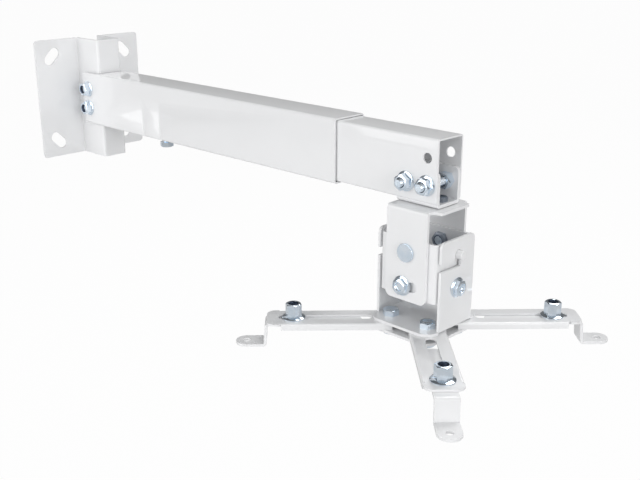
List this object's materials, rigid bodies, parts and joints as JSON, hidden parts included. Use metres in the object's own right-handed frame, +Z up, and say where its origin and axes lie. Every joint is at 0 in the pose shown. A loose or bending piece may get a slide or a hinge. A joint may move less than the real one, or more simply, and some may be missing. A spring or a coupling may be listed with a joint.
{
  "type": "projector mount",
  "caption": "Wall mount for a projector: hat-section plate, telescopic square arm, swivelling and tilting head, and a spider of slotted arms with sliding feet.",
  "frame": {"origin": "middle of the wall plate's back face", "axes": "+X out from the wall along the arm, +Z up, +Y to the left when facing the wall's outward direction"},
  "size_m": [0.6404, 0.2492, 0.231],
  "materials": {
    "white_paint": "gloss powder coat",
    "zinc": "bright zinc plate",
    "dark_zinc": "dull zinc plate"
  },
  "bodies": {
    "wall_part": {"wall_plate": "white_paint", "outer_tube": "white_paint", "tube_bolts": "zinc", "tube_nuts": "zinc", "tube_spacers": "zinc", "lock_screw": "zinc"},
    "sliding_arm": {"inner_tube": "white_paint", "swivel_clevis": "white_paint", "clevis_bolts": "zinc", "clevis_nuts": "zinc", "swivel_bolt": "dark_zinc", "swivel_nut": "dark_zinc", "swivel_washer": "zinc", "clevis_inner_nuts": "zinc", "swivel_lock_bolt": "dark_zinc", "swivel_lock_nut": "zinc"},
    "swivel_head": {"upper_channel": "white_paint"},
    "tilting_frame": {"tilt_frame": "white_paint", "tilt_pivots": "zinc", "tilt_pivot_nuts": "dark_zinc", "tilt_lock_bolts": "zinc", "tilt_lock_nuts": "zinc", "roll_pins": "white_paint", "roll_lock_bolts": "zinc", "roll_lock_nuts": "zinc"},
    "rolling_cradle": {"cradle": "white_paint", "clamp_plate": "white_paint", "arm_bolts": "zinc", "arm_nuts": "zinc"},
    "spider_arm_front": {"arm_front": "white_paint"},
    "sliding_foot_front": {"foot_front": "white_paint", "foot_bolt_front": "zinc", "foot_nut_front": "zinc"},
    "spider_arm_right": {"arm_right": "white_paint"},
    "sliding_foot_right": {"foot_right": "white_paint", "foot_bolt_right": "zinc", "foot_nut_right": "zinc"},
    "spider_arm_rear": {"arm_rear": "white_paint"},
    "sliding_foot_rear": {"foot_rear": "white_paint", "foot_bolt_rear": "zinc", "foot_nut_rear": "zinc"},
    "spider_arm_left": {"arm_left": "white_paint"},
    "sliding_foot_left": {"foot_left": "white_paint", "foot_bolt_left": "zinc", "foot_nut_left": "zinc"}
  },
  "joints": [
    {"name": "arm_slide", "type": "slide", "parent": "wall_part", "child": "sliding_arm", "axis": [1, 0, 0], "range_m": [-0.069, 0.137]},
    {"name": "head_swivel", "type": "hinge", "parent": "sliding_arm", "child": "swivel_head", "pos_m": [0.513, 0, -0.032], "axis": [0, 0, 1], "range_deg": [-20, 20]},
    {"name": "head_tilt", "type": "hinge", "parent": "swivel_head", "child": "tilting_frame", "pos_m": [0.513, 0, -0.0715], "axis": [0, 1, 0], "range_deg": [-16, 8.5]},
    {"name": "cradle_roll", "type": "hinge", "parent": "tilting_frame", "child": "rolling_cradle", "pos_m": [0.513, 0, -0.0715], "axis": [1, 0, 0], "range_deg": [-8, 8]},
    {"name": "arm_pivot_front", "type": "hinge", "parent": "rolling_cradle", "child": "spider_arm_front", "pos_m": [0.53351, -0.02051, -0.13895], "axis": [0, 0, 1], "range_deg": [-40, 40]},
    {"name": "foot_slide_front", "type": "slide", "parent": "spider_arm_front", "child": "sliding_foot_front", "axis": [0.7071, -0.7071, 0], "range_m": [-0.023, 0]},
    {"name": "arm_pivot_right", "type": "hinge", "parent": "rolling_cradle", "child": "spider_arm_right", "pos_m": [0.53351, 0.02051, -0.13895], "axis": [0, 0, 1], "range_deg": [-40, 40]},
    {"name": "foot_slide_right", "type": "slide", "parent": "spider_arm_right", "child": "sliding_foot_right", "axis": [0.7071, 0.7071, 0], "range_m": [-0.015, 0.008]},
    {"name": "arm_pivot_rear", "type": "hinge", "parent": "rolling_cradle", "child": "spider_arm_rear", "pos_m": [0.49249, 0.02051, -0.13895], "axis": [0, 0, 1], "range_deg": [-40, 40]},
    {"name": "foot_slide_rear", "type": "slide", "parent": "spider_arm_rear", "child": "sliding_foot_rear", "axis": [-0.7071, 0.7071, 0], "range_m": [-0.015, 0.008]},
    {"name": "arm_pivot_left", "type": "hinge", "parent": "rolling_cradle", "child": "spider_arm_left", "pos_m": [0.49249, -0.02051, -0.13895], "axis": [0, 0, 1], "range_deg": [-40, 40]},
    {"name": "foot_slide_left", "type": "slide", "parent": "spider_arm_left", "child": "sliding_foot_left", "axis": [-0.7071, -0.7071, 0], "range_m": [-0.015, 0.008]}
  ]
}
